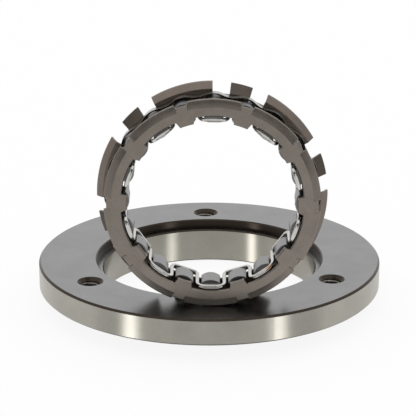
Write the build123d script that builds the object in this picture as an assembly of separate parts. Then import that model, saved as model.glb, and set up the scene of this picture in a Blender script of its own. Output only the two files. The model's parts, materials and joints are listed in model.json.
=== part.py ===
"""Sprag clutch: a flanged outer race lying flat, and the sprag ring that works in
its bore, stood up on the race's top face with its axis level.

Millimetres.  Row frame: origin at the centre of the race's bore in the plane of the
hub's lower face, +Z up along the bore, +Y from the front of the sprag ring to its back.

The sprag ring is drawn in its own frame first: local z runs from its front plate to
its rear rim, and angles are measured from its top, clockwise as seen from the front.
"""
import os
from math import asin, cos, degrees, radians, sin, sqrt

from build123d import *

# ---- the sprag ring: twenty sprags between a cage and a winding strip -------------
SPRAG_COUNT = 20
PITCH = 360 / SPRAG_COUNT
SHEET = 0.8                    # thickness of the cage's and the plate's sheet steel

# wave spring: crests over the sprags, troughs on the cage's bars
WAVE_CREST_R = 35.5
WAVE_SHEET = 0.35
WAVE_DEPTH = 1.05
WAVE_WIDE = 2.85
SEAT_GAP = 0.75                # under the crests, so the heads clear the spring as they rock
WAVE_GAP = 0.1                 # between the troughs and the cage
WAVE_TROUGH_R = WAVE_CREST_R - WAVE_DEPTH

# sprags, across the ring
SPRAG_HEIGHT = 7.3
PIVOT_HEIGHT = 4.2             # the axis it rocks about, above its inner crown
HEAD_HALF = 2.8                # half width of the outer head
WAIST_HALF = 2.15
HEAD_DROP = 1.0                # outer crown down to its corners
FOOT_RISE = 1.3                # inner crown up to its corners
CAM_OFFSET = 0.6               # the crowns stand this far to either side of the pivot
SPRAG_CORNER = 0.45
SPRAG_TOP_R = WAVE_CREST_R - WAVE_SHEET - SEAT_GAP
SPRAG_LOW_R = SPRAG_TOP_R - SPRAG_HEIGHT
PIVOT_R = SPRAG_LOW_R + PIVOT_HEIGHT

# inner cage: a strip with a cross-bar between every two sprags
STRIP_RISE = 1.65              # middle of the bars above the sprags' inner crowns
STRIP_WIDE = 1.3
STRIP_DEEP = 0.9
STRIP_CHAMFER = 0.25
TURN_LONG = 1.25               # axial length of the pieces that join the bars
FRONT_TURN_DEEP = 1.3
FRONT_TURN_PROUD = 0.25        # the front ones stand out of the plate by this
REAR_TURN_DEEP = 1.45
REAR_TURN_GAP = 1.0            # behind the sprags
FOOT_ROOM = 0.55               # between a sprag's inner head and a bar
STRIP_R = SPRAG_LOW_R + STRIP_RISE
FOOT_HALF = STRIP_R * sin(radians(PITCH / 2)) - STRIP_WIDE / 2 - FOOT_ROOM

# front plate: flat ring, lips bent back outside it, tabs hooked back inside it
LIP_COUNT = SPRAG_COUNT // 2
LIP_PITCH = 360 / LIP_COUNT
LIP_SPAN = 29.0                # degrees
LIP_ROOM = 0.6                 # between the lips and the cage
LIP_SLOPE = 1.8                # radial run of the lip's slope, from its bend to its knee
LIP_SLOPE_BACK = 0.9           # how far back it leads
LIP_ROLL = 1.0                 # radial run from the knee to the lip's outside
LIP_ROLL_BACK = 0.8
LIP_EDGE = 0.65                # straight part of the lip
NOTCH_DROP = 0.7               # the plate between two lips ends this far inside them
TAB_STEP = 0.1                 # the tabs reach this far inside the sprags
TAB_ROOM = 1.12                # between a tab and a bar
TAB_BEVEL = 0.65
TAB_HOOK = 1.0                 # how far a tab's edge is bent back
TURN_GAP = 0.3                 # between the inner cage and the plate

# cage: windowed cylinder with a front seat, rear flange and a rim cut into lugs
CAGE_SEAT_WIDE = 1.4           # the part of the cage that lies on the plate's back
CAGE_NEST = 0.1                # between the lips' back and the cage's slope
CAGE_FRONT_BAND = 0.95         # unbroken band in front of the windows
HEAD_ROOM = 0.85               # between a sprag and the side of its window
END_ROOM = 0.2                 # between a sprag and either end of its window
WINDOW_LONG = 7.75
FLANGE_IN_DROP = 3.6           # from the cage's inside to the flange's inner edge, clear of the bars
NOTCH_RISE = 0.6               # the flange between two lugs ends this far out
RIM_RISE = 2.6                 # the rim stands this far outside the wave spring
RIM_LONG = 3.1
RIM_REPEATS = 6
LONG_LUG = (-16.6, 31.5)       # centre and span in degrees
LONG_SLOPE = 1.9               # radial run of a long lug's slope, out to the rim
LONG_SLOPE_BACK = 2.1          # how far back it leads
SHORT_LUG = (13.8, 11.0)
SHORT_SLOPE = 3.1
SHORT_SLOPE_BACK = 2.6
CAGE_R = WAVE_TROUGH_R - WAVE_SHEET - WAVE_GAP
CAGE_IN_R = CAGE_R - SHEET
RIM_R = WAVE_CREST_R + RIM_RISE
NOTCH_R = CAGE_R + NOTCH_RISE
RIM_PITCH = 360 / RIM_REPEATS

LIP_R = CAGE_R + LIP_ROOM + SHEET
LIP_KNEE_R = LIP_R - LIP_ROLL
LIP_BEND_R = LIP_KNEE_R - LIP_SLOPE
LIP_TURN = LIP_SLOPE_BACK + LIP_ROLL_BACK
LIP_END = LIP_TURN + LIP_EDGE
SEAT_R = LIP_BEND_R - SHEET / 2
TAB_R = SPRAG_LOW_R - TAB_STEP
TAB_SPAN = PITCH - 2 * degrees(asin((STRIP_WIDE / 2 + TAB_ROOM) / STRIP_R))
FRONT_TURN_R = STRIP_R + STRIP_DEEP / 2
PLATE_IN_R = FRONT_TURN_R + TURN_GAP

CAGE_START = LIP_TURN + CAGE_NEST
WINDOW_START = CAGE_START + CAGE_FRONT_BAND
FLANGE_START = WINDOW_START + WINDOW_LONG
WINDOW_HALF = degrees(asin((HEAD_HALF + HEAD_ROOM) / CAGE_IN_R))
SPRAG_START = WINDOW_START + END_ROOM
SPRAG_END = FLANGE_START - END_ROOM
WAVE_END = FLANGE_START - END_ROOM
WAVE_START = WAVE_END - WAVE_WIDE
RIM_END = FLANGE_START + RIM_LONG
REAR_TURN_START = SPRAG_END + REAR_TURN_GAP

# ---- race: flanged ring, bored and counterbored, three tapped holes --------------
RACE_R = 60.0
RACE_HEIGHT = 15.2
RIM_THICKNESS = 9.3
RIM_TOP_CHAMFER = 0.7
RIM_LOW_CHAMFER = 0.6
HUB_WALL = 4.8
HUB_FILLET = 1.2
HUB_CHAMFER = 0.5
BORE_ROOM = 1.7                # round the wave spring at rest
BORE_CHAMFER = 0.5
COUNTERBORE_ROOM = 1.6         # round the cage's rim
COUNTERBORE_DEPTH = 3.2
COUNTERBORE_CHAMFER = 0.4
HOLE_COUNT = 3
HOLE_PITCH_R = 47.7
TAP_DRILL_R = 3.4              # M8 coarse
COUNTERSINK_R = 4.5
HOLE_TURN = 1.6                # the rear hole sits this many degrees past +Y
BORE_R = WAVE_CREST_R + BORE_ROOM
COUNTERBORE_R = RIM_R + COUNTERBORE_ROOM
HUB_R = BORE_R + HUB_WALL

# ---- where the sprag ring stands: on a crest of its spring, its rim in the counterbore
STAND_GAP = 0.1
STAND_ROOM = 0.65              # between the rim and the counterbore's wall
RING_X = 1.0                   # a little right of the race's middle
RING_ROLL = 1.0                # degrees, clockwise from the front
RING_Z = RACE_HEIGHT + WAVE_CREST_R + STAND_GAP
SUNK_HALF = sqrt(RIM_R ** 2 - (WAVE_CREST_R + STAND_GAP) ** 2)
RIM_WALL_Y = -sqrt(COUNTERBORE_R ** 2 - (SUNK_HALF + RING_X) ** 2)
RING_Y = RIM_WALL_Y + STAND_ROOM - LONG_SLOPE_BACK - FLANGE_START


def turned(points, span=360, centre=0):
    """A closed outline of (radius, axial) points turned through span degrees about centre."""
    outline = make_face(Polyline([(r, 0, z) for r, z in points], close=True))
    piece = revolve(outline, Axis.Z, revolution_arc=span)
    return Rot(0, 0, centre - span / 2) * piece


def plain_ring(inner_r, outer_r, start, end, span=360, centre=0):
    """A square-edged ring, or span degrees of one about the angle centre."""
    return turned([(inner_r, start), (outer_r, start), (outer_r, end), (inner_r, end)], span, centre)


def race():
    """The flanged race with its bore, counterbore and tapped holes."""
    low = RACE_HEIGHT - RIM_THICKNESS
    ledge = RACE_HEIGHT - COUNTERBORE_DEPTH
    ring = turned([
        (BORE_R + BORE_CHAMFER, 0),
        (HUB_R - HUB_CHAMFER, 0),
        (HUB_R, HUB_CHAMFER),
        (HUB_R, low - HUB_FILLET),
        (HUB_R + 0.3 * HUB_FILLET, low - 0.3 * HUB_FILLET),
        (HUB_R + HUB_FILLET, low),
        (RACE_R - RIM_LOW_CHAMFER, low),
        (RACE_R, low + RIM_LOW_CHAMFER),
        (RACE_R, RACE_HEIGHT - RIM_TOP_CHAMFER),
        (RACE_R - RIM_TOP_CHAMFER, RACE_HEIGHT),
        (COUNTERBORE_R + COUNTERBORE_CHAMFER, RACE_HEIGHT),
        (COUNTERBORE_R, RACE_HEIGHT - COUNTERBORE_CHAMFER),
        (COUNTERBORE_R, ledge),
        (BORE_R + BORE_CHAMFER, ledge),
        (BORE_R, ledge - BORE_CHAMFER),
        (BORE_R, BORE_CHAMFER),
    ])
    sink = COUNTERSINK_R - TAP_DRILL_R
    for index in range(HOLE_COUNT):
        angle = radians(90 + HOLE_TURN + index * 360 / HOLE_COUNT)
        x = HOLE_PITCH_R * cos(angle)
        y = HOLE_PITCH_R * sin(angle)
        ring -= Pos(x, y, RACE_HEIGHT / 2) * Cylinder(TAP_DRILL_R, RACE_HEIGHT)
        mouth = Cone(TAP_DRILL_R, COUNTERSINK_R, sink)
        ring -= Pos(x, y, RACE_HEIGHT - sink / 2) * mouth
        ring -= Pos(x, y, low + sink / 2) * Rot(180, 0, 0) * mouth
    return ring


def sprag():
    """One sprag at the top of the ring; in its outline x is radius and y is to the right."""
    head = SPRAG_TOP_R - HEAD_DROP
    foot = SPRAG_LOW_R + FOOT_RISE
    lines = Curve() + [
        ThreePointArc((head, -HEAD_HALF), (SPRAG_TOP_R, CAM_OFFSET), (head, HEAD_HALF)),
        ThreePointArc((head, HEAD_HALF), (PIVOT_R, WAIST_HALF), (foot, FOOT_HALF)),
        ThreePointArc((foot, FOOT_HALF), (SPRAG_LOW_R, -CAM_OFFSET), (foot, -FOOT_HALF)),
        ThreePointArc((foot, -FOOT_HALF), (PIVOT_R, -WAIST_HALF), (head, -HEAD_HALF)),
    ]
    outline = make_face(lines)
    outline = fillet(outline.vertices(), SPRAG_CORNER)
    return Pos(0, 0, SPRAG_START) * extrude(outline, SPRAG_END - SPRAG_START)


def outer_cage():
    """Windowed cylinder with a rear flange whose rim is cut into long and short lugs."""
    body = turned([
        (SEAT_R - CAGE_SEAT_WIDE, SHEET),
        (SEAT_R, SHEET),
        (CAGE_R, CAGE_START),
        (CAGE_R, FLANGE_START),
        (NOTCH_R, FLANGE_START),
        (NOTCH_R, FLANGE_START + SHEET),
        (CAGE_IN_R - FLANGE_IN_DROP, FLANGE_START + SHEET),
        (CAGE_IN_R - FLANGE_IN_DROP, FLANGE_START),
        (CAGE_IN_R, FLANGE_START),
        (CAGE_IN_R, WINDOW_START),
        (SEAT_R - SHEET / 2, 2 * SHEET),
        (SEAT_R - CAGE_SEAT_WIDE, 2 * SHEET),
    ])
    window = plain_ring(CAGE_IN_R - 1, CAGE_R + 1, WINDOW_START, FLANGE_START, 2 * WINDOW_HALF)
    cage = body - [Rot(0, 0, index * PITCH) * window for index in range(SPRAG_COUNT)]
    root = (NOTCH_R - SHEET, FLANGE_START)
    back = (NOTCH_R - SHEET, FLANGE_START + SHEET)
    long_knee = FLANGE_START + LONG_SLOPE_BACK
    long_lug = [
        root,
        (RIM_R - LONG_SLOPE, FLANGE_START),
        (RIM_R, long_knee),
        (RIM_R, RIM_END),
        (RIM_R - SHEET, RIM_END),
        (RIM_R - SHEET, long_knee + 0.4 * SHEET),
        (RIM_R - LONG_SLOPE - 0.4 * SHEET, FLANGE_START + SHEET),
        back,
    ]
    short_end = FLANGE_START + SHORT_SLOPE_BACK
    short_lug = [
        root,
        (RIM_R - SHORT_SLOPE, FLANGE_START),
        (RIM_R, short_end),
        (RIM_R - 0.6 * SHEET, short_end + 0.75 * SHEET),
        (RIM_R - SHORT_SLOPE - 0.4 * SHEET, FLANGE_START + SHEET),
        back,
    ]
    for index in range(RIM_REPEATS):
        for lug, (centre, span) in ((long_lug, LONG_LUG), (short_lug, SHORT_LUG)):
            cage += turned(lug, span, centre + index * RIM_PITCH)
    return cage


def front_plate():
    """Flat ring with lips bent back outside it and tabs hooked back inside it."""
    plate = plain_ring(PLATE_IN_R, LIP_R - NOTCH_DROP, 0, SHEET)
    lip = [
        (LIP_BEND_R - SHEET, 0),
        (LIP_BEND_R, 0),
        (LIP_KNEE_R, LIP_SLOPE_BACK),
        (LIP_R, LIP_TURN),
        (LIP_R, LIP_END),
        (LIP_R - SHEET, LIP_END),
        (LIP_R - SHEET, LIP_TURN + 0.5 * SHEET),
        (LIP_KNEE_R - SHEET / 2, LIP_SLOPE_BACK + 0.85 * SHEET),
        (LIP_BEND_R - 0.3 * SHEET, SHEET),
        (LIP_BEND_R - SHEET, SHEET),
    ]
    tab = [
        (TAB_R, TAB_BEVEL),
        (TAB_R + TAB_BEVEL, 0),
        (PLATE_IN_R + SHEET, 0),
        (PLATE_IN_R + SHEET, SHEET),
        (TAB_R + SHEET, SHEET),
        (TAB_R + SHEET, TAB_HOOK),
        (TAB_R, TAB_HOOK),
    ]
    relief = plain_ring(LIP_BEND_R, LIP_R, -SHEET, 2 * SHEET, LIP_SPAN)
    for index in range(LIP_COUNT):
        centre = index * LIP_PITCH
        plate -= Rot(0, 0, centre) * relief
        plate += turned(lip, LIP_SPAN, centre)
        plate += turned(tab, TAB_SPAN, centre + LIP_PITCH / 2)
    return plate


def wave_loop(inset):
    """The wave spring's outer outline, or one lying inset inside it, as crest and trough arcs."""
    middle_r = (WAVE_CREST_R + WAVE_TROUGH_R) / 2

    def at(radius, turns):
        angle = radians(turns * PITCH)
        return ((radius - inset) * cos(angle), (radius - inset) * sin(angle))

    arcs = Curve()
    for index in range(SPRAG_COUNT):
        start = at(middle_r, index - 0.25)
        between = at(middle_r, index + 0.25)
        arcs += ThreePointArc(start, at(WAVE_CREST_R, index), between)
        arcs += ThreePointArc(between, at(WAVE_TROUGH_R, index + 0.5), at(middle_r, index + 0.75))
    return make_face(arcs)


def wave_spring():
    """A band bent into one even wave for each sprag."""
    band = extrude(wave_loop(0) - wave_loop(WAVE_SHEET), WAVE_END - WAVE_START)
    return Pos(0, 0, WAVE_START) * band


def strip_section(deep, wide):
    """A rectangle with chamfered corners."""
    section = Rectangle(deep, wide)
    return chamfer(section.vertices(), STRIP_CHAMFER)


def strip_turn(deep, outer_r, start, centre):
    """A piece that joins two neighbouring bars, one pitch long, its edges chamfered."""
    reach = PITCH + 2 * degrees(asin(STRIP_WIDE / 2 / STRIP_R))
    section = Plane.XZ * Pos(outer_r - deep / 2, start + TURN_LONG / 2) * strip_section(deep, TURN_LONG)
    return Rot(0, 0, centre - reach / 2) * revolve(section, Axis.Z, revolution_arc=reach)


def inner_cage():
    """A strip with a cross-bar between every two sprags, joined in front and behind by turns."""
    bar_start = STRIP_CHAMFER - FRONT_TURN_PROUD
    bar_end = REAR_TURN_START + TURN_LONG - STRIP_CHAMFER
    bar = extrude(strip_section(STRIP_DEEP, STRIP_WIDE), bar_end - bar_start)
    bar = Pos(STRIP_R, 0, bar_start) * bar
    strip = Part()
    for index in range(SPRAG_COUNT):
        centre = index * PITCH
        strip += Rot(0, 0, centre + PITCH / 2) * bar
        if index % 2:
            strip += strip_turn(REAR_TURN_DEEP, STRIP_R, REAR_TURN_START, centre)
        else:
            strip += strip_turn(FRONT_TURN_DEEP, FRONT_TURN_R, -FRONT_TURN_PROUD, centre)
    return strip


def stood(piece):
    """Move a piece from the sprag ring's own frame to where the ring stands."""
    frame = Plane(origin=(RING_X, RING_Y, RING_Z), x_dir=(0, 0, 1), z_dir=(0, 1, 0))
    return frame.location * Rot(0, 0, RING_ROLL) * piece


os.makedirs("parts", exist_ok=True)
pieces = {
    "race": race(),
    "outer_cage": stood(outer_cage()),
    "front_plate": stood(front_plate()),
    "wave_spring": stood(wave_spring()),
    "inner_cage": stood(inner_cage()),
}
one_sprag = sprag()
for number in range(SPRAG_COUNT):
    name = f"sprag_{number + 1:02d}"
    pieces[name] = stood(Rot(0, 0, number * PITCH) * one_sprag)
for name, piece in pieces.items():
    export_step(piece, f"parts/{name}.step")
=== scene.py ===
"""Sprag clutch: finishes, tapped threads and wound strip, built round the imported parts.

Laid out as an add-on and run as a script.  Lengths are metres, and a size written in
millimetres is multiplied by MM.  The frame's axes: +Z up along the race's bore, +Y from
the front of the standing sprag ring to its back.
"""
import json
from math import atan2, ceil, cos, pi, radians, sin, tan

import bmesh
import bpy
from bpy.props import FloatProperty, FloatVectorProperty, IntProperty, PointerProperty
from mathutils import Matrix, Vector


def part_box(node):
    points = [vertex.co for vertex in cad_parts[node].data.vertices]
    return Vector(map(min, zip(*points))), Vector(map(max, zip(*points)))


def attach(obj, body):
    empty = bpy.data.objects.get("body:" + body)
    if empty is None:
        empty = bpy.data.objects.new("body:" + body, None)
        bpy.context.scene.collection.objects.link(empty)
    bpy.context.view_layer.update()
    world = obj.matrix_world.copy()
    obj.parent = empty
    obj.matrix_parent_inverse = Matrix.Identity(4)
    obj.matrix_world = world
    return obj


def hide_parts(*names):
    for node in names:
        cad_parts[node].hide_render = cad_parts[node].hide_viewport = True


bl_info = {
    "name": "Sprag clutch",
    "version": (1, 0, 0),
    "blender": (4, 5, 0),
    "location": "View3D > Sidebar > Clutch",
    "description": "Dresses a sprag clutch: steels, tapped threads, wound strip and studio",
    "category": "Object",
}

MM = 0.001
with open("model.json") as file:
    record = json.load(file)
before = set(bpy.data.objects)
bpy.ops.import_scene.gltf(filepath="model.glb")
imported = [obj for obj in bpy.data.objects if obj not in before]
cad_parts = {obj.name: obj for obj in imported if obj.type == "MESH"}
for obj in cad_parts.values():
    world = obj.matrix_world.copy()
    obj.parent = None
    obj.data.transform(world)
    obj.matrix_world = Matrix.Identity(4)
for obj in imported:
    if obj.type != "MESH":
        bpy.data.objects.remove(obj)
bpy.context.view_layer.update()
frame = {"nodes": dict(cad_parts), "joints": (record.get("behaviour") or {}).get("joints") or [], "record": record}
JOINTS = {joint["name"]: joint for joint in frame["joints"]}
MOUNTS = {mount["name"]: mount for mount in frame["record"]["mounts"]}

# The sprag ring: its axis, its front plane, and its first sprag's angle from the top.
RING_CENTRE = Vector(JOINTS["inner_cage_turn"]["pos_m"])
RING_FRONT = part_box("front_plate")[0].y
FIRST_SPRAG = Vector(JOINTS["sprag_01_rock"]["pos_m"]) - RING_CENTRE
RING_ROLL = atan2(FIRST_SPRAG.x, FIRST_SPRAG.z)
SPRAG_COUNT = sum(name.startswith("sprag_") and name.endswith("_rock") for name in JOINTS)
PITCH = 2 * pi / SPRAG_COUNT

# The race: its faces and its holes.
RACE_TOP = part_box("race")[1].z
BORE_R = MOUNTS["bore"]["dims"]["r_mm"] * MM
HOLES = MOUNTS["fixing_holes"]
HOLE_PITCH_R = HOLES["dims"]["pcd_mm"] / 2 * MM
HOLE_R = HOLES["dims"]["hole_r_mm"] * MM
HOLE_MIDDLE = HOLES["pos_m"][2]

# The slopes of the cage's short lugs, which get painted shade, are told by how squarely they face the front.
SHORT_LUG_FACING = -0.77
SHORT_LUG_SPREAD = 0.05

# On the race, a level face faces up or down by more than LEVEL, and a wall by less than UPRIGHT.
LEVEL = 0.97
UPRIGHT = 0.08

# Noise runs mostly between these two values, and bump draws the grain this deep.
NOISE_LOW = 0.3
NOISE_HIGH = 0.7
GRAIN_DEPTH = 0.05 * MM


def linear(hex_colour):
    """An sRGB hex colour as linear RGBA."""
    values = [int(hex_colour[place:place + 2], 16) / 255 for place in (0, 2, 4)]
    return [v / 12.92 if v <= 0.04045 else ((v + 0.055) / 1.055) ** 2.4 for v in values] + [1.0]


def length(name, description, millimetres):
    """A settable length."""
    value = millimetres * MM
    return FloatProperty(name=name, description=description, default=value, unit="LENGTH")


def turn(name, description, degrees):
    """A settable angle."""
    value = radians(degrees)
    return FloatProperty(name=name, description=description, default=value, unit="ROTATION")


def share(name, description, value):
    """A settable share, from nothing to all."""
    return FloatProperty(
        name=name, description=description, default=value, min=0, max=1, subtype="FACTOR"
    )


def paint(name, description, hex_colour):
    """A settable colour."""
    return FloatVectorProperty(
        name=name, description=description, default=linear(hex_colour),
        size=4, min=0, max=1, subtype="COLOR",
    )


# ---- what a user would change -----------------------------------------------------
class ClutchRace(bpy.types.PropertyGroup):
    """Finish and threads of the race."""

    ground: paint("Ground face", "The race's top face", "878787")
    turned: paint("Turned wall", "Outer wall", "A8A59C")
    # The bore's steel, made a little darker than the outer wall's as painted shade.
    shaded_bore: paint("Bore", "The bore's wall", "A29F95")
    # Painted shade: the chamfers and the counterbore's wall are coloured dark for the shade on them.
    scale: paint("Scale", "Chamfers and counterbore wall, left dark by hardening", "3D3630")
    # Painted shade: the tapped holes' walls, and the threads in patches, are coloured dark for the shade in the
    # holes.
    hole_shade: paint("Hole walls", "Inside the tapped holes", "5C5652")
    grain: length("Grain", "Size of the ground face's grain", 0.5)
    mottle: length("Mottle", "Size of the ground face's faint patches", 9.0)
    ground_rough: share("Ground roughness", "Roughness of the ground face", 0.27)
    turned_rough: share("Turned roughness", "Roughness of the outer wall", 0.33)
    bored_rough: share("Bored roughness", "Roughness of the bore", 0.28)
    first_hole: turn("First hole", "Angle of the rear hole from +X", 91.6)
    hole_count: IntProperty(name="Holes", description="Number of tapped holes", default=3)
    thread_pitch: length("Thread pitch", "Axial distance between two turns", 1.25)
    thread_depth: length("Thread depth", "How far the crests stand into the hole", 0.45)
    thread_sunk: length("Thread root", "How far the roots are sunk in the hole's wall", 0.02)
    thread_short: length("Thread ends", "The threads end this far inside the rim's faces", 0.9)
    thread_grain: length("Thread grain", "Size of the grain on the threads", 0.8)
    thread_rough: share("Thread roughness", "Roughness of the oiled threads", 0.22)


class ClutchSheet(bpy.types.PropertyGroup):
    """Finish of the front plate and the outer cage."""

    plate: paint("Plate", "The front plate's satin sheet", "8C847C")
    cage: paint("Cage", "The outer cage's satin sheet", "7F756D")
    # Painted shade: the bent parts, and more so the short lugs' slopes, are coloured darker by how they face.
    bend_shade: share("Bends", "How much darker the bent parts stay than the flat face", 0.08)
    short_lug_shade: share("Short lugs", "How much darker the short lugs' slopes stay", 0.4)
    burr: paint("Edges", "Sheared edges, worn brighter", "B5B0AA")
    edge: length("Worn edge", "How far in from an edge the coat is worn", 0.22)
    cloud: length("Clouds", "Size of the coating's faint clouds", 5.0)
    tooth: length("Tooth", "Size of the coating's fine tooth", 0.45)
    rough_low: share("Roughness, low", "Roughness of the smoothest clouds", 0.36)
    rough_high: share("Roughness, high", "Roughness of the roughest clouds", 0.5)


class ClutchPlate(bpy.types.PropertyGroup):
    """Shape of the pressed front plate, measured from the ring's axis and its front plane."""

    inside: length("Inside", "Radius of the plate's inner edge", 29.8)
    tab_inside: length("Tab inside", "Radius to which the tabs reach", 27.8)
    tab_half: turn("Tab half width", "Half of a tab's tip", 4.7)
    tab_flank: turn("Tab flank", "Angle over which a tab's side runs out", 1.3)
    tab_bevel: length("Inner bevel", "Bevel along the inner edge", 0.35)
    bend: length("Bend", "Radius where a lip starts to slope", 32.9)
    outside: length("Outside", "Radius of the lips' outer edge", 35.4)
    notch: length("Notch", "Radius of the outer edge between two lips", 34.5)
    step: length("Step", "How far back a lip leads", 0.85)
    lip_half: turn("Lip half width", "Half of a lip's span", 14.3)
    lip_edge: length("Lip edge", "Bevel along a lip's outer edge", 0.2)
    lip_hollow: share("Lip hollow", "How hollow a lip's slope is", 0.35)
    sheet: length("Sheet", "Thickness of the plate", 0.8)


class ClutchSpring(bpy.types.PropertyGroup):
    """Finish of the wave spring."""

    strip: paint("Spring strip", "Bright rolled spring strip", "B4B2AE")
    # Painted shade on the strip's edges that face front and back.
    shaded_slit: paint("Slit edges", "The strip's dark slit edges", "3A3734")
    rolling: length("Rolling lines", "Spacing of the rolling lines along the strip", 0.3)
    rough_low: share("Roughness, low", "Roughness of the smoothest lines", 0.2)
    rough_high: share("Roughness, high", "Roughness of the roughest lines", 0.36)


class ClutchStrip(bpy.types.PropertyGroup):
    """Shape and finish of the wound strip that makes the inner cage."""

    polished: paint("Polished strip", "Polished stainless strip", "C9C7C3")
    straw: paint("Weld tint", "Straw tint round the strip's one weld", "B5793A")
    weld_angle: turn("Weld angle", "The strip's weld, clockwise from the top", 139.0)
    weld_reach: length("Weld reach", "How far the tint spreads", 1.9)
    weld_depth: share("Weld depth", "How deep the tint gets at the weld", 0.6)
    ripple: length("Ripple", "Size of the polish's soft ripples", 1.6)
    rough: share("Roughness", "Roughness of the polish", 0.15)
    bar_radius: length("Bar radius", "Middle of the cross-bars from the ring's axis", 28.75)
    bar_wide: length("Bar width", "Across a cross-bar", 1.3)
    bar_deep: length("Bar depth", "A cross-bar's radial thickness", 0.9)
    turn_wide: length("Turn width", "Axial width of the turns", 1.15)
    front_inside: length("Front turn inside", "A front turn's flat inside from the axis", 27.85)
    rear_inside: length("Rear turn inside", "A rear turn's flat inside from the axis", 27.35)
    front_corner: length("Front corner", "Radius of the bend from a bar into a front turn", 3.2)
    rear_corner: length("Rear corner", "Radius of the bend from a bar into a rear turn", 0.9)
    edge_round: length("Edge rounding", "Radius along the strip's polished edges", 0.32)
    groove: length("Groove", "Depth of the crease along the front turns", 0.22)


class ClutchSprags(bpy.types.PropertyGroup):
    """Finish of the sprags."""

    matte: paint("Sprag steel", "Hardened and barrel-finished steel", "939393")
    worn: paint("Edges", "The sprags' rubbed edges", "D0D0D0")
    rough: share("Roughness", "Roughness of the barrel finish", 0.42)
    grain: length("Grain", "Size of the barrel finish's grain", 0.3)
    edge: length("Edge rounding", "Radius along the sprags' edges", 0.22)


class ClutchStage(bpy.types.PropertyGroup):
    """Camera, floor and lamps."""

    camera_back: length("Camera distance", "In front of the race's axis", 657.06)
    camera_up: length("Camera height", "Above the floor", 256.6)
    camera_down: turn("Camera tilt", "Below the horizon", 18.781)
    camera_lens: FloatProperty(
        name="Lens", description="Focal length", default=171.3, unit="CAMERA"
    )
    camera_sensor: FloatProperty(
        name="Sensor", description="Width of the sensor", default=36.0, unit="CAMERA"
    )
    camera_shift: FloatProperty(
        name="Shift", description="Sideways shift, in widths of the sensor", default=-0.00303
    )
    camera_near: length("Camera near", "Nothing nearer to the camera is drawn", 50.0)
    room_light: share("Room light", "Strength of the room's plain even light", 1.0)
    floor_white: share("Floor white", "How much light the floor's card gives back", 0.97)
    floor_gap: length("Floor gap", "The floor lies this far under the race", 0.2)
    floor_size: length("Floor size", "Side of the white floor", 6000.0)
    floor_shadow: share("Floor shadow", "How much of the floor's light a full shadow takes", 0.12)
    lamp_left: turn("Left lamp", "The left strip lamp, round from the front", -50.2)
    lamp_right: turn("Right lamp", "The right strip lamp, round from the front", 43.7)
    lamp_rise: turn("Lamp rise", "The strip lamps' middle above the horizon", -17.0)
    lamp_away: length("Lamp distance", "From the race to the strip lamps", 500.0)
    lamp_wide: length("Lamp width", "Width of a strip lamp", 70.0)
    lamp_tall: length("Lamp height", "Height of a strip lamp", 180.0)
    lamp_power: FloatProperty(
        name="Lamp power", description="Power of each strip lamp", default=0.41, unit="POWER"
    )
    screen_tone: paint("Screen tone", "The dark screen's grey", "46433F")
    screen_side: length("Screen side", "The dark screen, left and right of the race", 700.0)
    screen_front: length("Screen front", "The dark screen in front of the race's axis", 1500.0)
    screen_open: length("Screen opening", "The side screens end this far before the axis", 200.0)
    screen_rise: turn("Screen rise", "The screen's upper edge above the ring's horizon", 33.0)


# ---- shader nodes -----------------------------------------------------------------
def add(tree, kind, feeds=None, **settings):
    """Add a node: settings are its own properties, feeds its inputs by name or place.

    A feed is a plain value, a socket, or a node, which stands for its first output in use.
    """
    new = tree.nodes.new("ShaderNode" + kind)
    for name, value in settings.items():
        setattr(new, name, value)
    sockets = [socket for socket in new.inputs if socket.enabled]
    for place, value in (feeds or {}).items():
        named = [socket for socket in sockets if socket.name == place]
        socket = named[0] if named else sockets[place]
        if isinstance(value, bpy.types.Node):
            value = next(output for output in value.outputs if output.enabled)
        if isinstance(value, bpy.types.NodeSocket):
            tree.links.new(value, socket)
        else:
            socket.default_value = value
    return new


def start(name):
    """A new material with an empty tree, and the tree."""
    material = bpy.data.materials.new(name)
    material.use_nodes = True
    material.node_tree.nodes.clear()
    return material, material.node_tree


def per(spacing):
    """The texture scale at which a pattern repeats at that spacing."""
    return 1 / spacing


def noise(tree, vector, spacing, detail, **feeds):
    """Noise whose pattern has that spacing, along a vector of places."""
    feeds = {"Vector": vector, "Scale": per(spacing), "Detail": detail, **feeds}
    return add(tree, "TexNoise", feeds)


def mixed(tree, first, second, second_share):
    """Two greys in one: second_share of the second and the rest of the first."""
    part = add(tree, "Math", {0: first, 1: 1 - second_share, 2: 0.0}, operation="MULTIPLY_ADD")
    return add(tree, "Math", {0: second, 1: second_share, 2: part}, operation="MULTIPLY_ADD")


def spread(tree, grey, low, high):
    """Noise stretched to run from low to high."""
    return add(tree, "MapRange", {
        "Value": grey, "From Min": NOISE_LOW, "From Max": NOISE_HIGH, "To Min": low, "To Max": high,
    })


def ranged(tree, grey, low, high):
    """A grey from 0 to 1, made to run from low to high."""
    return add(tree, "MapRange", {"Value": grey, "To Min": low, "To Max": high})


def blend(tree, part, below, above):
    """The colour below, covered by the one above where part is 1."""
    return add(tree, "Mix", {0: part, "A": below, "B": above}, data_type="RGBA")


def times(tree, first, second):
    """Two greys multiplied."""
    return add(tree, "Math", {0: first, 1: second}, operation="MULTIPLY")


def facing(tree, axis):
    """How squarely a flat face looks along an axis, from -1 to 1."""
    normal = add(tree, "NewGeometry").outputs["True Normal"]
    return add(tree, "SeparateXYZ", {0: normal}).outputs[axis]


def metal(tree, colour, rough, **feeds):
    """Bare metal, with its other inputs by name."""
    return add(tree, "BsdfPrincipled", {
        "Base Color": colour, "Metallic": 1.0, "Roughness": rough, **feeds,
    })


def surfaced(material, shader):
    """The material, with that shader as its surface."""
    add(material.node_tree, "OutputMaterial", {"Surface": shader})
    return material


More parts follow.
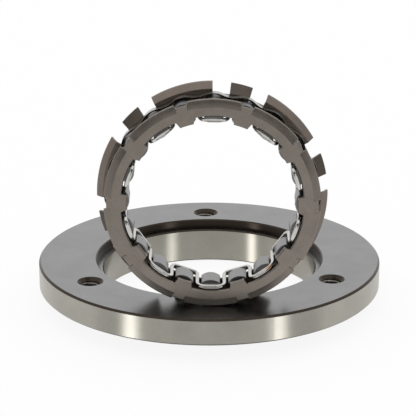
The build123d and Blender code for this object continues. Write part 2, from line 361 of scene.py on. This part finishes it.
def worn_edges(tree, radius):
    """A rounded normal, and how far it turns from the flat one: 1 at an edge, else 0."""
    rounded = add(tree, "Bevel", {"Radius": radius}, samples=6)
    flat = add(tree, "NewGeometry").outputs["Normal"]
    same = add(tree, "VectorMath", {0: rounded, 1: flat}, operation="DOT_PRODUCT")
    # The cosine of the turn: about 6 degrees for no wear, and about 30 for all of it.
    edge = add(tree, "MapRange", {
        "Value": same.outputs["Value"], "From Min": 0.995, "From Max": 0.86,
    })
    return rounded, edge


def race_steel(sizes):
    """Bearing steel, turned, hardened and ground.

    The top face is ground to a fine even grey, and the walls keep the bright drawn-out
    lustre of turning; the bore's colour is a little darker, as painted shade.  The chamfers,
    the counterbore's wall and the holes' walls are painted dark, as shade.  The grain is
    drawn coarser than the real grinding lines.
    """
    material, tree = start("ground_bearing_steel")
    here = add(tree, "TexCoord").outputs["Object"]
    slant = add(tree, "Math", {0: facing(tree, "Z")}, operation="ABSOLUTE")
    flat = add(tree, "Math", {0: slant, 1: LEVEL}, operation="GREATER_THAN")
    wall = add(tree, "Math", {0: slant, 1: UPRIGHT}, operation="LESS_THAN")
    in_plan = add(tree, "VectorMath", {0: here, 1: (1, 1, 0)}, operation="MULTIPLY")
    radius = add(tree, "VectorMath", {0: in_plan}, operation="LENGTH").outputs["Value"]
    # The walls are told apart by radius: the counterbore's lies 2.5 mm outside the bore's.
    counterbore = add(
        tree, "Math", {0: radius, 1: BORE_R + 2.5 * MM, 2: 1.6 * MM}, operation="COMPARE"
    )
    bore = add(tree, "Math", {0: radius, 1: BORE_R + 0.5 * MM}, operation="LESS_THAN")
    hole = add(tree, "Math", {0: radius, 1: HOLE_PITCH_R, 2: 1.3 * HOLE_R}, operation="COMPARE")

    mottle = noise(tree, here, sizes.mottle, 4.0)
    grain = noise(tree, here, sizes.grain, 2.0)
    tone = spread(tree, mixed(tree, mottle, grain, 0.4), 0.9, 1.1)

    # Painted shade: faces neither level nor upright, the chamfers, take the dark colour.
    colour = blend(tree, flat, sizes.scale, sizes.ground)
    # The bore takes its colour with painted shade.
    walls = blend(tree, bore, sizes.turned, sizes.shaded_bore)
    colour = blend(tree, wall, colour, walls)
    # Painted shade on the counterbore's wall.
    colour = blend(tree, times(tree, wall, counterbore), colour, sizes.scale)
    # Painted shade on the holes' walls.
    colour = blend(tree, times(tree, wall, hole), colour, sizes.hole_shade)
    colour = add(tree, "VectorMath", {0: colour, 1: tone}, operation="MULTIPLY")

    bump = add(tree, "Bump", {"Height": grain, "Strength": 0.08, "Distance": GRAIN_DEPTH})
    ground = metal(tree, colour, sizes.ground_rough, Normal=bump)
    upright = add(tree, "CombineXYZ", {"Z": 1.0})
    lustre = ranged(tree, bore, sizes.turned_rough, sizes.bored_rough)
    drawn = metal(tree, colour, lustre, Normal=bump, Anisotropic=1.0, Tangent=upright)
    return surfaced(material, add(tree, "MixShader", {0: wall, 1: ground, 2: drawn}))


def thread_steel(sizes):
    """Cut thread in hardened steel: oiled, so that it glints, with the holes' painted shade in patches."""
    material, tree = start("cut_thread_steel")
    here = add(tree, "TexCoord").outputs["Object"]
    grain = noise(tree, here, sizes.thread_grain, 2.0)
    colour = blend(tree, grain, sizes.hole_shade, sizes.turned)
    return surfaced(material, metal(tree, colour, sizes.thread_rough))


def sheet_steel(name, colour, sizes):
    """Stamped sheet steel with a thin phosphate coat.

    Satin and brown-grey with faint clouds, and brighter where the sheared edges have worn.
    The tooth is drawn coarser than the real coat's, which is too fine to be seen.
    """
    material, tree = start(name)
    here = add(tree, "TexCoord").outputs["Object"]
    cloud = noise(tree, here, sizes.cloud, 4.0, Roughness=0.6)
    tooth = noise(tree, here, sizes.tooth, 2.0)
    tone = spread(tree, mixed(tree, cloud, tooth, 0.3), 0.84, 1.16)

    # The flat front faces squarely forward.  What turns away from it gets a little painted
    # shade, darker by how it faces, and the short lugs' slopes more so.
    forward = facing(tree, "Y")
    bent = add(tree, "MapRange", {
        "Value": forward, "From Min": -0.99, "From Max": -0.95, "To Max": sizes.bend_shade,
    })
    short_lug = add(
        tree, "Math", {0: forward, 1: SHORT_LUG_FACING, 2: SHORT_LUG_SPREAD}, operation="COMPARE"
    )
    painted_shade = add(
        tree, "Math", {0: short_lug, 1: sizes.short_lug_shade, 2: bent}, operation="MULTIPLY_ADD"
    )
    left_unshaded = add(tree, "Math", {0: 1.0, 1: painted_shade}, operation="SUBTRACT")
    tone = times(tree, tone, left_unshaded)

    body = add(tree, "VectorMath", {0: list(colour)[:3], 1: tone}, operation="MULTIPLY")
    rounded, edge = worn_edges(tree, sizes.edge)
    body = blend(tree, times(tree, edge, 0.45), body, sizes.burr)
    bump = add(tree, "Bump", {
        "Height": tooth, "Strength": 0.3, "Distance": GRAIN_DEPTH, "Normal": rounded,
    })
    rough = ranged(tree, cloud, sizes.rough_low, sizes.rough_high)
    return surfaced(material, metal(tree, body, rough, Normal=bump))


def spring_steel(sizes):
    """Rolled spring strip: faint rolling lines along its bright faces, and painted shade on the edges that face
    front and back.
    """
    material, tree = start("bright_spring_steel")
    here = add(tree, "TexCoord").outputs["Object"]
    along = add(tree, "VectorMath", {0: here, 1: (0.05, 1, 0.05)}, operation="MULTIPLY")
    lines = noise(tree, along, sizes.rolling, 2.0)
    tone = spread(tree, lines, 0.9, 1.05)
    forward = add(tree, "Math", {0: facing(tree, "Y")}, operation="ABSOLUTE")
    # Painted shade: faces turned to the front and the back take the dark colour.
    shaded_slit = add(tree, "Math", {0: forward, 1: 0.7}, operation="GREATER_THAN")
    body = blend(tree, shaded_slit, sizes.strip, sizes.shaded_slit)
    body = add(tree, "VectorMath", {0: body, 1: tone}, operation="MULTIPLY")
    rough = ranged(tree, lines, sizes.rough_low, sizes.rough_high)
    return surfaced(material, metal(tree, body, rough))


def strip_steel(sizes):
    """Polished stainless strip: a mirror with soft ripples, and a straw tint at its weld."""
    material, tree = start("polished_stainless_strip")
    here = add(tree, "TexCoord").outputs["Object"]
    ripple = noise(tree, here, sizes.ripple, 2.0)
    angle = sizes.weld_angle
    weld = RING_CENTRE + sizes.bar_radius * Vector((sin(angle), 0, cos(angle)))
    weld.y = RING_FRONT
    gap = add(tree, "VectorMath", {0: here, 1: weld}, operation="DISTANCE").outputs["Value"]
    tint = add(tree, "MapRange", {
        "Value": gap, "From Min": 0.3 * sizes.weld_reach, "From Max": sizes.weld_reach,
        "To Min": sizes.weld_depth, "To Max": 0.0,
    })
    body = blend(tree, tint, sizes.polished, sizes.straw)
    bump = add(tree, "Bump", {"Height": ripple, "Strength": 0.03, "Distance": 0.1 * MM})
    return surfaced(material, metal(tree, body, sizes.rough, Normal=bump))


def sprag_steel(sizes):
    """Hardened steel, barrel-finished: an even fine-grained matte, lighter along the edges.

    The grain is drawn coarser than the real one, which is too fine to be seen.
    """
    material, tree = start("barrel_finished_sprag_steel")
    here = add(tree, "TexCoord").outputs["Object"]
    grain = noise(tree, here, sizes.grain, 3.0)
    tone = spread(tree, grain, 0.86, 1.12)
    body = add(tree, "VectorMath", {0: list(sizes.matte)[:3], 1: tone}, operation="MULTIPLY")
    rounded, edge = worn_edges(tree, sizes.edge)
    body = blend(tree, times(tree, edge, 0.5), body, sizes.worn)
    bump = add(tree, "Bump", {
        "Height": grain, "Strength": 0.2, "Distance": GRAIN_DEPTH, "Normal": rounded,
    })
    return surfaced(material, metal(tree, body, sizes.rough, Normal=bump))


def white_where_seen(tree, plain, plain_share):
    """White for camera, mirrored and refracted rays, less plain_share, which stays plain."""
    rays = add(tree, "LightPath").outputs
    seen = rays["Is Camera Ray"]
    for other in ("Is Glossy Ray", "Is Transmission Ray"):
        seen = add(tree, "Math", {0: seen, 1: rays[other]}, operation="MAXIMUM")
    part = add(tree, "Math", {0: seen, 1: 1 - plain_share}, operation="MULTIPLY")
    kind = "Background" if plain.bl_idname == "ShaderNodeBackground" else "Emission"
    white = add(tree, kind, {"Color": (1, 1, 1, 1), "Strength": 1.0})
    return add(tree, "MixShader", {0: part, 1: plain, 2: white})


# ---- meshes -----------------------------------------------------------------------
# How finely rounded corners, bends and turns are drawn.
CORNER_STEPS = 4
BEND_STEPS = 8
FLAT_STEPS = 6
LIP_STEPS = 12
FLANK_STEPS = 4
THREAD_STEPS = 36

# The plate drops from a lip to a notch over this angle.
LIP_END = 0.01


def solid_from(name, rings, closed):
    """A smooth mesh object skinned over rings of points, closed in a loop or capped."""
    mesh = bpy.data.meshes.new(name)
    build = bmesh.new()
    rows = [[build.verts.new(point) for point in ring] for ring in rings]
    pairs = list(zip(rows, rows[1:]))
    if closed:
        pairs.append((rows[-1], rows[0]))
    else:
        build.faces.new(rows[0])
        build.faces.new(reversed(rows[-1]))
    for near, far in pairs:
        for place in range(len(near)):
            after = (place + 1) % len(near)
            build.faces.new((near[place], far[place], far[after], near[after]))
    bmesh.ops.recalc_face_normals(build, faces=build.faces)
    build.to_mesh(mesh)
    build.free()
    for face in mesh.polygons:
        face.use_smooth = True
    made = bpy.data.objects.new(name, mesh)
    bpy.context.scene.collection.objects.link(made)
    return made


def flat_panel(name, corners, material):
    """A stage panel with those corners."""
    mesh = bpy.data.meshes.new(name)
    mesh.from_pydata(corners, [], [range(len(corners))])
    mesh.materials.append(material)
    panel = bpy.data.objects.new(name, mesh)
    bpy.context.scene.collection.objects.link(panel)
    return panel


def settle(piece, material, body):
    """Give a piece its material and slot, and let it ride on its body."""
    piece.data.materials.append(material)
    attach(piece, body)


def dress(node, material):
    """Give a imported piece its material."""
    for place in frame["nodes"][node].material_slots:
        place.material = material


def rounded_section(wide, deep, edge_round, groove):
    """Points (across, out) round a rounded bar's section.

    A groove sinks the middle of its +across side.
    """
    points = []
    corners = ((1, 1), (-1, 1), (-1, -1), (1, -1))
    for corner, (side, level) in enumerate(corners):
        for step in range(CORNER_STEPS + 1):
            angle = (corner + step / CORNER_STEPS) * pi / 2
            across = side * (wide / 2 - edge_round) + edge_round * cos(angle)
            points.append((across, level * (deep / 2 - edge_round) + edge_round * sin(angle)))
    for sunk, out in ((0.6, -0.1), (1.0, 0.0), (0.6, 0.1)):
        points.append((wide / 2 - sunk * groove, out * deep))
    return points


def on_ring(angle, radius, y):
    """The point at that angle past the first sprag, that far from the ring's axis."""
    from_top = RING_ROLL + angle
    x = RING_CENTRE.x + radius * sin(from_top)
    z = RING_CENTRE.z + radius * cos(from_top)
    return Vector((x, y, z))


def turn_path(half, corner, end, inward):
    """A turn from one bar to the next as (run, y, share turned), run from its middle."""
    bend = []
    for step in range(BEND_STEPS + 1):
        turned = step / BEND_STEPS
        angle = turned * pi / 2
        run = corner * (1 - cos(angle)) - half
        bend.append((run, end + inward * corner * (1 - sin(angle)), turned))
    flat = [
        ((half - corner) * (step / FLAT_STEPS - 1), end, 1.0) for step in range(1, 2 * FLAT_STEPS)
    ]
    return bend + flat + [(-run, y, turned) for run, y, turned in reversed(bend)]


def strip_rings(sizes):
    """Sections of the wound strip, all the way round: a bar, a front turn, a bar, a rear turn.

    The turns keep to the bars' outside, and their inside is flat from bar to bar.
    """
    near, far = (corner.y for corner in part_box("inner_cage"))
    half = sizes.bar_radius * PITCH / 2
    bar_in = sizes.bar_radius - sizes.bar_deep / 2
    bar_out = sizes.bar_radius + sizes.bar_deep / 2
    rings = []
    for index in range(SPRAG_COUNT):
        if index % 2 == 0:
            path = turn_path(half, sizes.front_corner, near + sizes.turn_wide / 2, 1)
            inside, crease = sizes.front_inside, sizes.groove
        else:
            path = turn_path(half, sizes.rear_corner, far - sizes.turn_wide / 2, -1)
            inside, crease = sizes.rear_inside, 0.0
        for place, (run, y, turned) in enumerate(path):
            before = path[max(place - 1, 0)]
            after = path[min(place + 1, len(path) - 1)]
            ahead = Vector((after[0] - before[0], after[1] - before[1])).normalized()
            angle = run / sizes.bar_radius
            low = bar_in + (inside / cos(angle) - bar_in) * turned
            wide = sizes.bar_wide + (sizes.turn_wide - sizes.bar_wide) * turned
            section = rounded_section(wide, bar_out - low, sizes.edge_round, crease * turned ** 4)
            rings.append([
                on_ring(
                    index * PITCH + (run + ahead.y * across) / sizes.bar_radius,
                    (bar_out + low) / 2 + up,
                    y - ahead.x * across,
                )
                for across, up in section
            ])
    return rings


def plate_section(sizes, tab, lip):
    """Points (radius, back) round the plate's section; tab and lip run from 0 to 1.

    The sheet's back follows its front with fewer points.
    """
    inside = sizes.inside + (sizes.tab_inside - sizes.inside) * tab
    outside = sizes.notch + (sizes.outside - sizes.notch) * lip
    back = sizes.step * lip
    run = outside - sizes.lip_edge - sizes.bend
    slope = []
    for part in (0.0, 0.25, 0.5, 0.75, 1.0):
        hollow = 1 + sizes.lip_hollow * (1 - part)
        slope.append((sizes.bend + run * part, back * part * hollow))
    return [(inside, sizes.tab_bevel), (inside + sizes.tab_bevel, 0.0)] + slope + [
        (outside, back + sizes.lip_edge),
        (outside, back + sizes.sheet),
        (sizes.bend + 0.3 * run, 0.6 * back + sizes.sheet),
        (sizes.bend - 0.3 * MM, sizes.sheet),
        (inside, sizes.sheet * (1 + 0.5 * tab)),
    ]


def plate_stations(sizes):
    """Angles at which the plate's section is drawn, each with its lip, or None to find it.

    Every second sprag has a lip over it, and a tab lies midway between two lips.
    """
    stations = []
    for index in range(SPRAG_COUNT // 2):
        lip_middle = index * 2 * PITCH
        tab_middle = lip_middle + PITCH
        for step in range(LIP_STEPS + 1):
            turned = 2 * step / LIP_STEPS - 1
            stations.append((lip_middle + sizes.lip_half * turned, 1.0))
        for side in (-1, 1):
            stations.append((lip_middle + side * (sizes.lip_half + LIP_END), 0.0))
        for side in (-1, 1):
            for step in range(FLANK_STEPS + 1):
                reach = sizes.tab_half + sizes.tab_flank * step / FLANK_STEPS
                stations.append((tab_middle + side * reach, None))
            stations.append((tab_middle + side * sizes.tab_half / 2, None))
        stations.append((tab_middle, None))
    return sorted(stations, key=lambda station: station[0] % (2 * pi))


def plate_rings(sizes):
    """Sections of the front plate, all the way round."""
    rings = []
    for angle, lip in plate_stations(sizes):
        from_lip = abs((angle + PITCH) % (2 * PITCH) - PITCH)
        from_tab = PITCH - from_lip
        if lip is None:
            lip = 1.0 if from_lip < sizes.lip_half else 0.0
        tab = min(max(1 - (from_tab - sizes.tab_half) / sizes.tab_flank, 0.0), 1.0)
        section = plate_section(sizes, tab, lip)
        rings.append([on_ring(angle, radius, RING_FRONT + back) for radius, back in section])
    return rings


def thread_rings(sizes, centre_x, centre_y, bottom, top):
    """Sections of one helical thread ridge, fading out at both ends."""
    turns = (top - bottom) / sizes.thread_pitch
    steps = ceil(turns * THREAD_STEPS)
    root = HOLE_R + sizes.thread_sunk
    rings = []
    for step in range(steps + 1):
        done = step / steps
        angle = done * turns * 2 * pi
        height = bottom + done * (top - bottom)
        # Each end fades over an eighth of the thread, to a twentieth of its size.
        fade = min(1.0, 8 * done + 0.05, 8 * (1 - done) + 0.05)
        crest = HOLE_R - sizes.thread_depth * fade
        half = 0.42 * sizes.thread_pitch * fade
        tip = 0.15 * half
        ring = []
        for radius, rise in ((root, -half), (root, half), (crest, tip), (crest, -tip)):
            x = centre_x + radius * cos(angle)
            y = centre_y + radius * sin(angle)
            ring.append((x, y, height + rise))
        rings.append(ring)
    return rings


# ---- operators --------------------------------------------------------------------
class ClutchOperator:
    """What the operators share: each is registered and can be undone."""

    bl_options = {"REGISTER", "UNDO"}


class CLUTCH_OT_race(ClutchOperator, bpy.types.Operator):
    """Finish the race and cut the threads in its holes"""

    bl_idname = "clutch.race"
    bl_label = "Race"

    def execute(self, context):
        sizes = context.scene.clutch_race
        dress("race", race_steel(sizes))
        steel = thread_steel(sizes)
        half = RACE_TOP - HOLE_MIDDLE - sizes.thread_short
        for index in range(sizes.hole_count):
            angle = sizes.first_hole + index * 2 * pi / sizes.hole_count
            x = HOLE_PITCH_R * cos(angle)
            y = HOLE_PITCH_R * sin(angle)
            rings = thread_rings(sizes, x, y, HOLE_MIDDLE - half, HOLE_MIDDLE + half)
            thread = solid_from(f"tapped_thread_{index + 1}", rings, False)
            settle(thread, steel, "race")
        return {"FINISHED"}


class CLUTCH_OT_cage(ClutchOperator, bpy.types.Operator):
    """Finish the outer cage"""

    bl_idname = "clutch.cage"
    bl_label = "Outer cage"

    def execute(self, context):
        sizes = context.scene.clutch_sheet
        dress("outer_cage", sheet_steel("phosphated_cage_steel", sizes.cage, sizes))
        return {"FINISHED"}


class CLUTCH_OT_plate(ClutchOperator, bpy.types.Operator):
    """Press the front plate"""

    bl_idname = "clutch.plate"
    bl_label = "Front plate"

    def execute(self, context):
        sheet = context.scene.clutch_sheet
        plate = solid_from("pressed_plate", plate_rings(context.scene.clutch_plate), True)
        plate.data.set_sharp_from_angle(angle=radians(12))
        steel = sheet_steel("phosphated_plate_steel", sheet.plate, sheet)
        settle(plate, steel, "sprag_ring")
        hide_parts("front_plate")
        return {"FINISHED"}


class CLUTCH_OT_spring(ClutchOperator, bpy.types.Operator):
    """Finish the wave spring"""

    bl_idname = "clutch.spring"
    bl_label = "Wave spring"

    def execute(self, context):
        dress("wave_spring", spring_steel(context.scene.clutch_spring))
        return {"FINISHED"}


class CLUTCH_OT_strip(ClutchOperator, bpy.types.Operator):
    """Wind the inner cage's strip"""

    bl_idname = "clutch.strip"
    bl_label = "Inner cage"

    def execute(self, context):
        sizes = context.scene.clutch_strip
        strip = solid_from("wound_strip", strip_rings(sizes), True)
        settle(strip, strip_steel(sizes), "inner_cage")
        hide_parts("inner_cage")
        return {"FINISHED"}


class CLUTCH_OT_sprags(ClutchOperator, bpy.types.Operator):
    """Finish the sprags"""

    bl_idname = "clutch.sprags"
    bl_label = "Sprags"

    def execute(self, context):
        steel = sprag_steel(context.scene.clutch_sprags)
        for number in range(SPRAG_COUNT):
            dress(f"sprag_{number + 1:02d}", steel)
        return {"FINISHED"}


class CLUTCH_OT_stage(ClutchOperator, bpy.types.Operator):
    """Set up the floor, the lamps, the dark screen and the camera"""

    bl_idname = "clutch.stage"
    bl_label = "Stage"

    def execute(self, context):
        scene = context.scene
        sizes = scene.clutch_stage
        self.camera(scene, sizes)
        self.surroundings(scene, sizes)
        self.floor(sizes)
        lit = bpy.data.collections.new("lit_by_strip_lamps")
        lit.objects.link(frame["nodes"]["race"])
        for angle in (sizes.lamp_left, sizes.lamp_right):
            self.lamp(scene, sizes, angle, lit)
        self.screen(sizes)
        scene.view_settings.view_transform = "Standard"
        return {"FINISHED"}

    @staticmethod
    def camera(scene, sizes):
        """A long lens from the front, tilted down."""
        camera = bpy.data.objects.new("camera", bpy.data.cameras.new("camera"))
        scene.collection.objects.link(camera)
        camera.location = (0, -sizes.camera_back, sizes.camera_up)
        camera.rotation_euler = (pi / 2 - sizes.camera_down, 0, 0)
        camera.data.lens = sizes.camera_lens
        camera.data.sensor_width = sizes.camera_sensor
        camera.data.shift_x = sizes.camera_shift
        camera.data.clip_start = sizes.camera_near
        scene.camera = camera

    @staticmethod
    def surroundings(scene, sizes):
        """Plain even light, and white behind the object."""
        world = bpy.data.worlds.new("white_room")
        scene.world = world
        world.use_nodes = True
        tree = world.node_tree
        tree.nodes.clear()
        plain = add(tree, "Background", {"Color": (1, 1, 1, 1), "Strength": sizes.room_light})
        add(tree, "OutputWorld", {"Surface": white_where_seen(tree, plain, 0.0)})

    @staticmethod
    def floor(sizes):
        """White card that keeps a faint shadow."""
        material, tree = start("white_floor")
        plain = add(tree, "BsdfDiffuse", {"Color": [sizes.floor_white] * 3 + [1.0]})
        surfaced(material, white_where_seen(tree, plain, sizes.floor_shadow))
        side = sizes.floor_size / 2
        level = -sizes.floor_gap
        ways = ((-1, -1), (1, -1), (1, 1), (-1, 1))
        flat_panel("floor", [(x * side, y * side, level) for x, y in ways], material)

    @staticmethod
    def lamp(scene, sizes, angle, lit):
        """A strip lamp's mirror image in a glossy table.

        It shines up from below, on the race alone.
        """
        light = bpy.data.lights.new("strip_lamp", "AREA")
        light.shape = "RECTANGLE"
        light.size = sizes.lamp_wide
        light.size_y = sizes.lamp_tall
        light.energy = sizes.lamp_power
        lamp = bpy.data.objects.new("strip_lamp", light)
        lamp.light_linking.receiver_collection = lit
        lamp.light_linking.blocker_collection = lit
        scene.collection.objects.link(lamp)
        level = cos(sizes.lamp_rise)
        aim = Vector((sin(angle) * level, -cos(angle) * level, sin(sizes.lamp_rise)))
        lamp.location = aim * sizes.lamp_away
        lamp.rotation_euler = aim.to_track_quat("Z", "Y").to_euler()

    @staticmethod
    def screen(sizes):
        """A dark screen round the front and the sides, seen only where the metal mirrors it."""
        material, tree = start("dark_screen")
        surfaced(material, add(tree, "BsdfDiffuse", {"Color": sizes.screen_tone}))
        side, front, end = sizes.screen_side, -sizes.screen_front, -sizes.screen_open
        stations = [(-side, end), (-side, front), (side, front), (side, end)]
        for (x, y), (next_x, next_y) in zip(stations, stations[1:]):
            away = side if x == next_x else -front
            top = RING_CENTRE.z + away * tan(sizes.screen_rise)
            corners = [(x, y, 0), (next_x, next_y, 0), (next_x, next_y, top), (x, y, top)]
            panel = flat_panel("dark_screen", corners, material)
            panel.visible_camera = False
            panel.visible_shadow = False
            panel.visible_diffuse = False


class CLUTCH_PT_panel(bpy.types.Panel):
    """The clutch's pieces and its stage"""

    bl_idname = "CLUTCH_PT_panel"
    bl_label = "Sprag clutch"
    bl_space_type = "VIEW_3D"
    bl_region_type = "UI"
    bl_category = "Clutch"

    def draw(self, context):
        for operator, group in STEPS:
            box = self.layout.box()
            box.operator(operator.bl_idname)
            settings = getattr(context.scene, group)
            for name in settings.__annotations__:
                box.prop(settings, name)


GROUPS = {
    "clutch_race": ClutchRace,
    "clutch_sheet": ClutchSheet,
    "clutch_plate": ClutchPlate,
    "clutch_spring": ClutchSpring,
    "clutch_strip": ClutchStrip,
    "clutch_sprags": ClutchSprags,
    "clutch_stage": ClutchStage,
}
STEPS = (
    (CLUTCH_OT_stage, "clutch_stage"),
    (CLUTCH_OT_race, "clutch_race"),
    (CLUTCH_OT_cage, "clutch_sheet"),
    (CLUTCH_OT_plate, "clutch_plate"),
    (CLUTCH_OT_spring, "clutch_spring"),
    (CLUTCH_OT_strip, "clutch_strip"),
    (CLUTCH_OT_sprags, "clutch_sprags"),
)


def register():
    """Register the settings, the operators and the panel."""
    for name, group in GROUPS.items():
        bpy.utils.register_class(group)
        setattr(bpy.types.Scene, name, PointerProperty(type=group))
    for operator, _ in STEPS:
        bpy.utils.register_class(operator)
    bpy.utils.register_class(CLUTCH_PT_panel)


def unregister():
    """Take all of it away again."""
    bpy.utils.unregister_class(CLUTCH_PT_panel)
    for operator, _ in reversed(STEPS):
        bpy.utils.unregister_class(operator)
    for name, group in reversed(GROUPS.items()):
        delattr(bpy.types.Scene, name)
        bpy.utils.unregister_class(group)


def main():
    """Register the add-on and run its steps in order."""
    register()
    for operator, _ in STEPS:
        family, name = operator.bl_idname.split(".")
        getattr(getattr(bpy.ops, family), name)()


if __name__ == "__main__":
    main()
